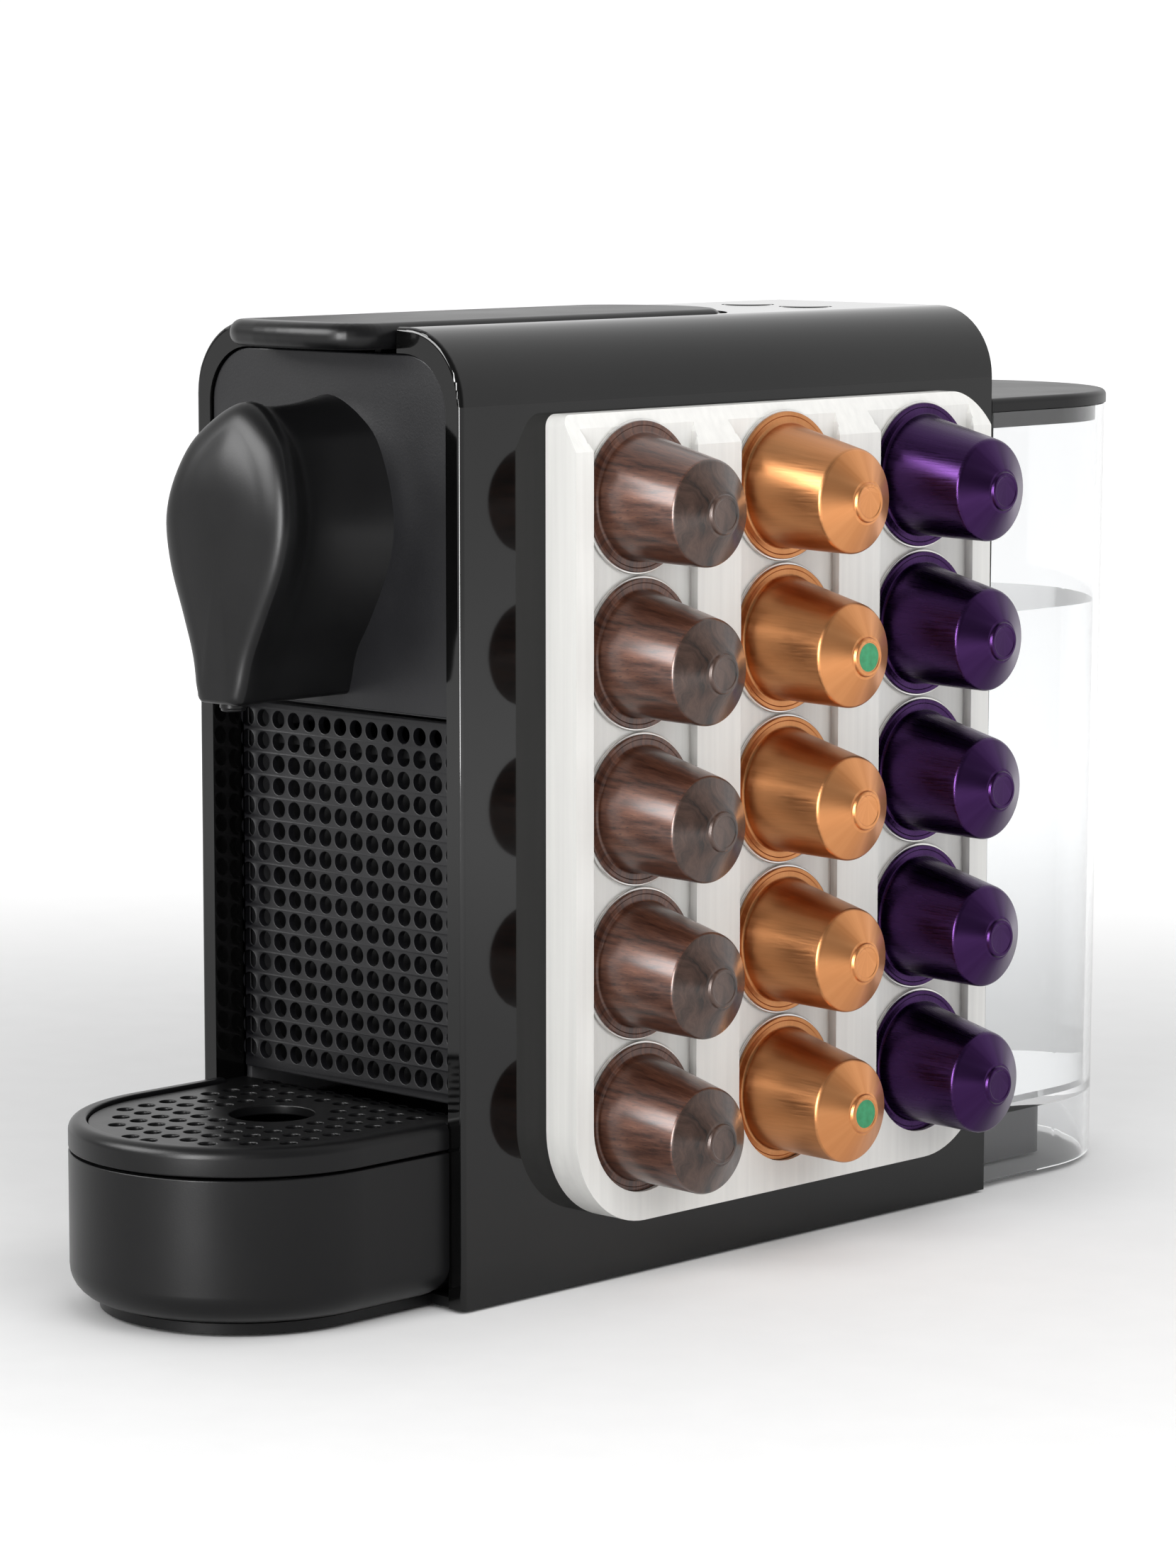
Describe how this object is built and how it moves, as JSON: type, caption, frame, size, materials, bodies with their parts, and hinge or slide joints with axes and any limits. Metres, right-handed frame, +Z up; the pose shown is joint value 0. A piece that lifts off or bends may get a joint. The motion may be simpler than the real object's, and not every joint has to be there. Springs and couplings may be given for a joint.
{
  "type": "capsule coffee machine",
  "caption": "Narrow capsule coffee machine with top lever, cup stand with drip tray, rear water tank and a side rack holding capsules in three columns.",
  "frame": {"origin": "on the ground, on the machine's middle plane, under the body's front face (the middle of the front foot strip)", "axes": "+X towards the capsule rack, +Y from the spout to the water tank, +Z up"},
  "size_m": [0.1291, 0.3393, 0.2333],
  "materials": {
    "gloss_black": "high-gloss black",
    "satin_black": "satin black, fine texture",
    "soft_black": "soft-touch black",
    "foot_rubber": "black rubber",
    "grey_plastic": "dark grey moulded plastic",
    "steel": "brushed",
    "cast_aluminium": "die cast",
    "hose_silicone": "translucent white silicone",
    "board_green": "circuit board",
    "dock_grey": "dark grey",
    "rack_white": "warm white with fine layer lines",
    "tank_clear": "clear",
    "water": "clear water",
    "walnut_foil": "dark walnut print on aluminium",
    "copper_foil": "brushed copper",
    "violet_foil": "brushed violet"
  },
  "bodies": {
    "machine": {"shell_cover": "gloss_black", "base_plate": "satin_black", "rubber_feet": "foot_rubber", "chassis_frame": "grey_plastic", "feed_deck": "grey_plastic", "lever_pin": "steel", "front_panel": "soft_black", "rear_panel": "satin_black", "rear_screws": "steel", "base_screws": "steel", "power_inlet": "foot_rubber", "spout_hood": "satin_black", "spout_nozzle": "satin_black", "brew_chamber": "grey_plastic", "guide_rods": "steel", "thermoblock": "cast_aluminium", "pump": "steel", "pump_mounts": "foot_rubber", "suction_hose": "hose_silicone", "pressure_hose": "hose_silicone", "hot_tube": "hose_silicone", "control_board": "board_green", "microswitches": "satin_black", "short_button_spring": "steel", "long_button_spring": "steel", "tank_dock": "dock_grey", "capsule_rack": "rack_white"},
    "lever_arm": {"lever": "satin_black"},
    "piston": {"brew_piston": "grey_plastic"},
    "short_key": {"short_button": "gloss_black"},
    "long_key": {"long_button": "gloss_black"},
    "drip_tray": {"tray_body": "satin_black"},
    "grille": {"drip_grille": "satin_black"},
    "capsule_bin": {"bin_front": "soft_black", "bin_tub": "satin_black"},
    "tank": {"tank_shell": "tank_clear", "tank_valve": "satin_black", "tank_water": "water"},
    "lid": {"tank_lid": "satin_black"},
    "pod_walnut_1": {"capsule_walnut_1": "walnut_foil"},
    "pod_walnut_2": {"capsule_walnut_2": "walnut_foil"},
    "pod_walnut_3": {"capsule_walnut_3": "walnut_foil"},
    "pod_walnut_4": {"capsule_walnut_4": "walnut_foil"},
    "pod_walnut_5": {"capsule_walnut_5": "walnut_foil"},
    "pod_copper_1": {"capsule_copper_1": "copper_foil"},
    "pod_copper_2": {"capsule_copper_2": "copper_foil"},
    "pod_copper_3": {"capsule_copper_3": "copper_foil"},
    "pod_copper_4": {"capsule_copper_4": "copper_foil"},
    "pod_copper_5": {"capsule_copper_5": "copper_foil"},
    "pod_violet_1": {"capsule_violet_1": "violet_foil"},
    "pod_violet_2": {"capsule_violet_2": "violet_foil"},
    "pod_violet_3": {"capsule_violet_3": "violet_foil"},
    "pod_violet_4": {"capsule_violet_4": "violet_foil"},
    "pod_violet_5": {"capsule_violet_5": "violet_foil"}
  },
  "joints": [
    {"name": "lever_hinge", "type": "hinge", "parent": "machine", "child": "lever_arm", "pos_m": [0, 0.102, 0.2275], "axis": [-1, 0, 0], "range_deg": [0, 75]},
    {"name": "piston_slide", "type": "slide", "parent": "machine", "child": "piston", "axis": [0, 1, 0], "range_m": [0, 0.0243]},
    {"name": "short_press", "type": "slide", "parent": "machine", "child": "short_key", "axis": [0, 0, -1], "range_m": [0, 0.002], "stiffness_N_per_m": 300, "springref_m": -0.002, "deforming": ["short_button_spring"]},
    {"name": "long_press", "type": "slide", "parent": "machine", "child": "long_key", "axis": [0, 0, -1], "range_m": [0, 0.002], "stiffness_N_per_m": 300, "springref_m": -0.002, "deforming": ["long_button_spring"]},
    {"name": "tray_slide", "type": "slide", "parent": "machine", "child": "drip_tray", "axis": [0, -1, 0], "range_m": [0, 0.088]},
    {"name": "grille_lift", "type": "slide", "parent": "drip_tray", "child": "grille", "axis": [0, 0, 1], "range_m": [0, 0.03]},
    {"name": "bin_slide", "type": "slide", "parent": "machine", "child": "capsule_bin", "axis": [0, -1, 0], "range_m": [0, 0.074]},
    {"name": "tank_lift", "type": "slide", "parent": "machine", "child": "tank", "axis": [0, 0, 1], "range_m": [0, 0.06]},
    {"name": "lid_lift", "type": "slide", "parent": "tank", "child": "lid", "axis": [0, 0, 1], "range_m": [0, 0.03]},
    {"name": "walnut_5_lift", "type": "slide", "parent": "machine", "child": "pod_walnut_5", "axis": [0, 0, 1], "range_m": [0, 0.04]},
    {"name": "walnut_4_lift", "type": "slide", "parent": "pod_walnut_5", "child": "pod_walnut_4", "axis": [0, 0, 1], "range_m": [0, 0.04]},
    {"name": "walnut_3_lift", "type": "slide", "parent": "pod_walnut_4", "child": "pod_walnut_3", "axis": [0, 0, 1], "range_m": [0, 0.04]},
    {"name": "walnut_2_lift", "type": "slide", "parent": "pod_walnut_3", "child": "pod_walnut_2", "axis": [0, 0, 1], "range_m": [0, 0.04]},
    {"name": "walnut_1_lift", "type": "slide", "parent": "pod_walnut_2", "child": "pod_walnut_1", "axis": [0, 0, 1], "range_m": [0, 0.04]},
    {"name": "copper_5_lift", "type": "slide", "parent": "machine", "child": "pod_copper_5", "axis": [0, 0, 1], "range_m": [0, 0.04]},
    {"name": "copper_4_lift", "type": "slide", "parent": "pod_copper_5", "child": "pod_copper_4", "axis": [0, 0, 1], "range_m": [0, 0.04]},
    {"name": "copper_3_lift", "type": "slide", "parent": "pod_copper_4", "child": "pod_copper_3", "axis": [0, 0, 1], "range_m": [0, 0.04]},
    {"name": "copper_2_lift", "type": "slide", "parent": "pod_copper_3", "child": "pod_copper_2", "axis": [0, 0, 1], "range_m": [0, 0.04]},
    {"name": "copper_1_lift", "type": "slide", "parent": "pod_copper_2", "child": "pod_copper_1", "axis": [0, 0, 1], "range_m": [0, 0.04]},
    {"name": "violet_5_lift", "type": "slide", "parent": "machine", "child": "pod_violet_5", "axis": [0, 0, 1], "range_m": [0, 0.04]},
    {"name": "violet_4_lift", "type": "slide", "parent": "pod_violet_5", "child": "pod_violet_4", "axis": [0, 0, 1], "range_m": [0, 0.04]},
    {"name": "violet_3_lift", "type": "slide", "parent": "pod_violet_4", "child": "pod_violet_3", "axis": [0, 0, 1], "range_m": [0, 0.04]},
    {"name": "violet_2_lift", "type": "slide", "parent": "pod_violet_3", "child": "pod_violet_2", "axis": [0, 0, 1], "range_m": [0, 0.04]},
    {"name": "violet_1_lift", "type": "slide", "parent": "pod_violet_2", "child": "pod_violet_1", "axis": [0, 0, 1], "range_m": [0, 0.04]}
  ],
  "couplings": [
    {"joint": "piston_slide", "follows": "lever_hinge", "m_per_rad": 0.018335}
  ]
}
